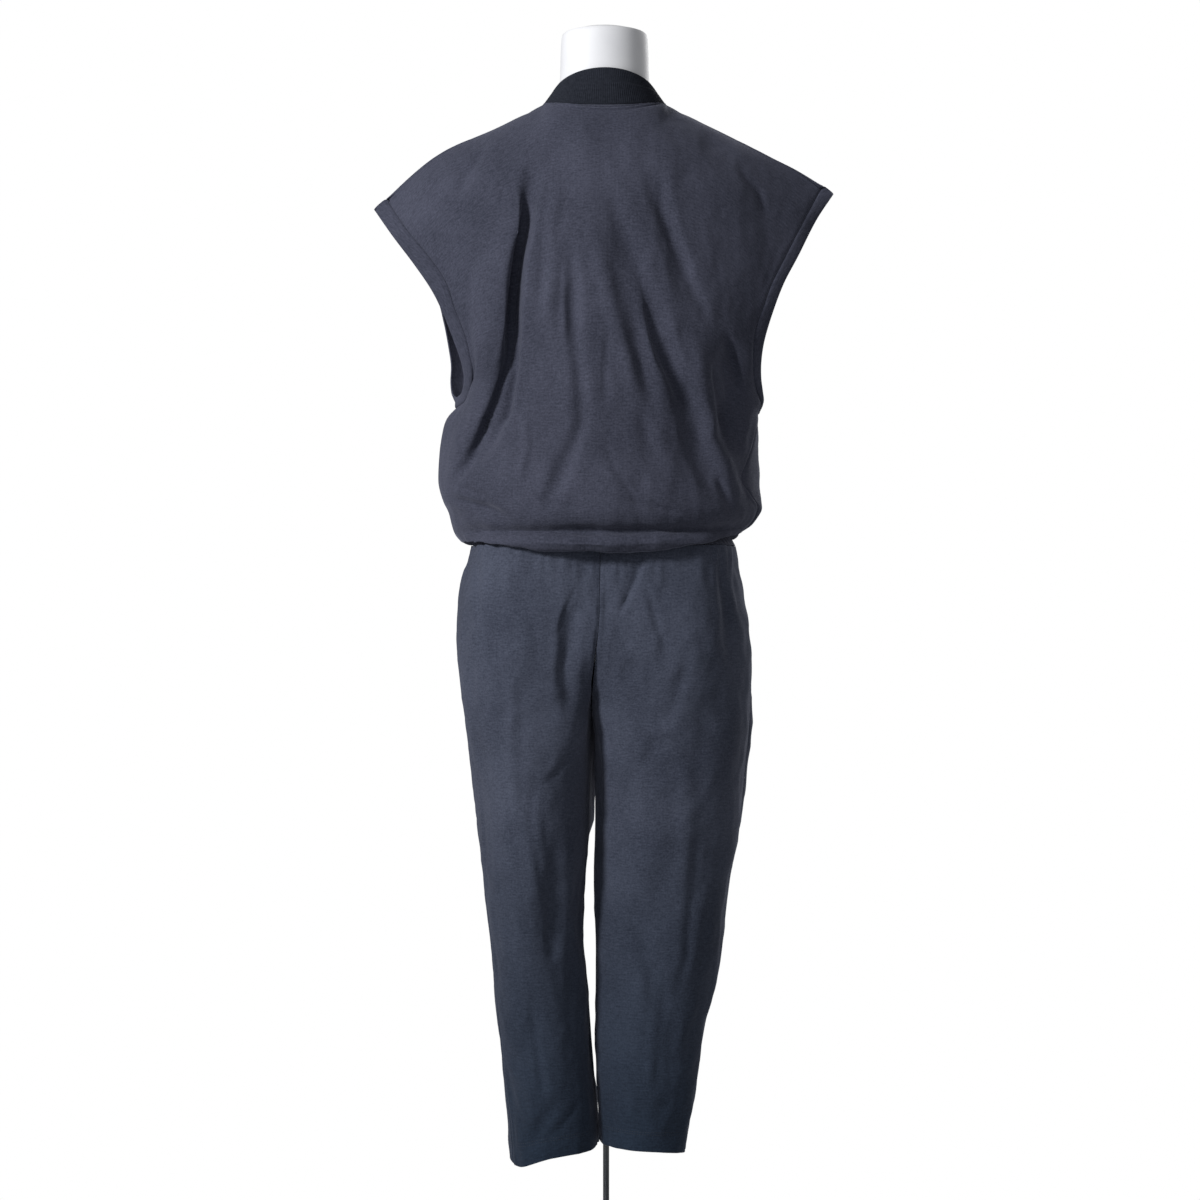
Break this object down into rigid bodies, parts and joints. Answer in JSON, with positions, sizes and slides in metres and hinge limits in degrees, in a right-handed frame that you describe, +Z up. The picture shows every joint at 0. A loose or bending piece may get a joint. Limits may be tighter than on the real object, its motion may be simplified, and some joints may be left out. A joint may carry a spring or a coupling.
{
  "type": "sleeveless zip-front jumpsuit on a limbless dress form with a stand",
  "caption": "Sleeveless jumpsuit with a blousing top, rib stand collar, front zip and tapered legs, worn by a limbless dress form on a thin pole and a round base.",
  "frame": {"origin": "centre of the stand base's underside, on the floor", "axes": "+Z up the pole; the garment's front faces -Y, its back +Y and its left side +X"},
  "size_m": [0.598, 0.38, 1.621],
  "materials": {
    "jersey_slate": "fine matt jersey knit",
    "jersey_slate_trousers": "fine matt jersey knit",
    "rib_knit_charcoal": "matt rib knit",
    "zip_tape_charcoal": "woven tape",
    "zip_coil_charcoal": "satin",
    "zip_metal_gunmetal": "satin",
    "form_white": "matt",
    "base_grey": "satin",
    "pole_grey": "satin"
  },
  "bodies": {
    "garment_on_form": {"bodice_back": "jersey_slate", "bodice_front_left": "jersey_slate", "bodice_front_right": "jersey_slate", "waist_casing": "jersey_slate", "armhole_band_left": "jersey_slate", "armhole_band_right": "jersey_slate", "collar": "rib_knit_charcoal", "trouser_back_left": "jersey_slate_trousers", "trouser_back_right": "jersey_slate_trousers", "trouser_front_left": "jersey_slate_trousers", "trouser_front_right": "jersey_slate_trousers", "zip_tape_left": "zip_tape_charcoal", "zip_tape_right": "zip_tape_charcoal", "zip_chain": "zip_coil_charcoal", "zip_slider": "zip_metal_gunmetal", "dress_form": "form_white", "stand_base": "base_grey", "stand_pole": "pole_grey"},
    "zip_pull": {"zip_pull": "zip_metal_gunmetal"}
  },
  "joints": [
    {"name": "zip_pull_hinge", "type": "hinge", "parent": "garment_on_form", "child": "zip_pull", "pos_m": [0, -0.073, 1.487], "axis": [-1, 0, 0], "range_deg": [0, 165]}
  ]
}
